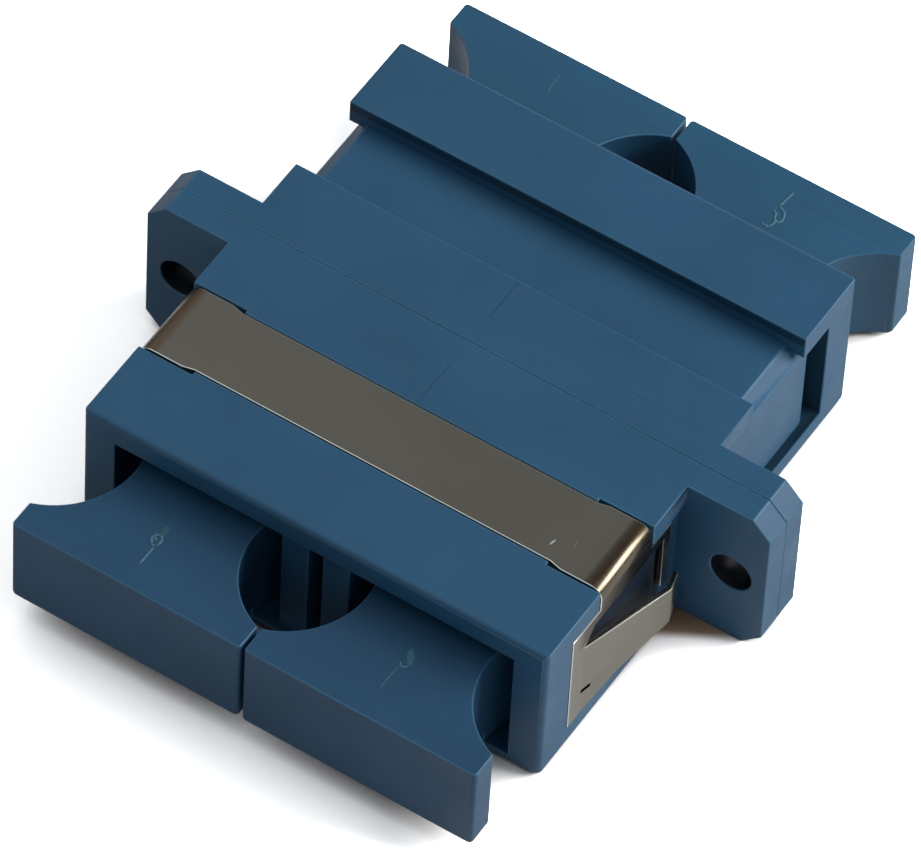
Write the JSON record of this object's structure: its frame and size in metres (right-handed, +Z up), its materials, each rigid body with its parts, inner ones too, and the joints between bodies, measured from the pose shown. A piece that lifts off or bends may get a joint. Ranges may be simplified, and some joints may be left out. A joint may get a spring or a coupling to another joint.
{
  "type": "sc fibre adapter",
  "caption": "Duplex SC fibre-optic adapter in blue plastic, flanged, with a spring-steel panel clip and dust plugs in all ports.",
  "frame": {"origin": "on the underside, midway across, in the joint plane of the two flanged halves", "axes": "+X across the two ports, +Y from the clip end to the plain end, +Z up out of the face that carries the clip's strip"},
  "size_m": [0.0342, 0.0384, 0.0092],
  "materials": {
    "blue_plastic": "satin",
    "spring_steel": "satin",
    "inner_plastic": "satin",
    "bronze": "satin"
  },
  "bodies": {
    "adapter": {"front_housing": "blue_plastic", "rear_housing": "blue_plastic", "panel_clip": "spring_steel", "front_left_holder": "inner_plastic", "front_right_holder": "inner_plastic", "rear_left_holder": "inner_plastic", "rear_right_holder": "inner_plastic", "left_split_sleeve": "bronze", "right_split_sleeve": "bronze"},
    "front_left_dust_plug": {"front_left_dust_plug": "blue_plastic"},
    "front_right_dust_plug": {"front_right_dust_plug": "blue_plastic"},
    "rear_left_dust_plug": {"rear_left_dust_plug": "blue_plastic"},
    "rear_right_dust_plug": {"rear_right_dust_plug": "blue_plastic"}
  },
  "joints": [
    {"name": "front_left_plug_pull", "type": "slide", "parent": "adapter", "child": "front_left_dust_plug", "axis": [0, -1, 0], "range_m": [0, 0.0125]},
    {"name": "front_right_plug_pull", "type": "slide", "parent": "adapter", "child": "front_right_dust_plug", "axis": [0, -1, 0], "range_m": [0, 0.0125]},
    {"name": "rear_left_plug_pull", "type": "slide", "parent": "adapter", "child": "rear_left_dust_plug", "axis": [0, 1, 0], "range_m": [0, 0.0125]},
    {"name": "rear_right_plug_pull", "type": "slide", "parent": "adapter", "child": "rear_right_dust_plug", "axis": [0, 1, 0], "range_m": [0, 0.0125]}
  ]
}
